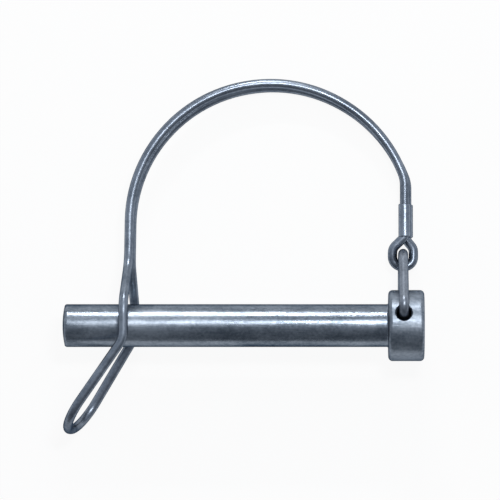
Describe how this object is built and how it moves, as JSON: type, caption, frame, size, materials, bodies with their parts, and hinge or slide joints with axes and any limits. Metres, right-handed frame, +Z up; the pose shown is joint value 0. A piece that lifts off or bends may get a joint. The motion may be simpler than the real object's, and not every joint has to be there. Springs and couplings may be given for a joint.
{
  "type": "scaffold pin",
  "caption": "Headed round locking pin with a spring-wire bail on a wire link, closing round the shank near its tip, for joining tubes.",
  "frame": {"origin": "on the pin's axis, in the plane of the head's bearing face", "axes": "+X along the pin towards its head, +Y towards the arch, +Z up with the pin lying on its side"},
  "size_m": [0.0845, 0.0832, 0.0208],
  "materials": {
    "plated_steel": "bright zinc plating, drawn lengthwise, lightly marked",
    "plated_link_wire": "bright zinc plating on soft steel wire",
    "plated_spring_wire": "bright zinc plating on spring steel wire",
    "plated_sleeve": "bright zinc plating, pressed smooth"
  },
  "bodies": {
    "pin": {"pin": "plated_steel"},
    "link": {"link": "plated_link_wire"},
    "bail": {"spring_wire": "plated_spring_wire", "ferrule": "plated_sleeve"}
  },
  "joints": [
    {"name": "link_swing", "type": "hinge", "parent": "pin", "child": "link", "pos_m": [0.00355, 0, 0], "axis": [0, 0.3827, 0.9239], "range_deg": [-15, 60]},
    {"name": "bail_swing", "type": "hinge", "parent": "link", "child": "bail", "pos_m": [0.00355, 0.0164, -0.00679], "axis": [0, 0.3827, 0.9239], "range_deg": [-69, 17.5]}
  ],
  "couplings": [
    {"joint": "bail_swing", "follows": "link_swing", "ratio": -1.14}
  ]
}
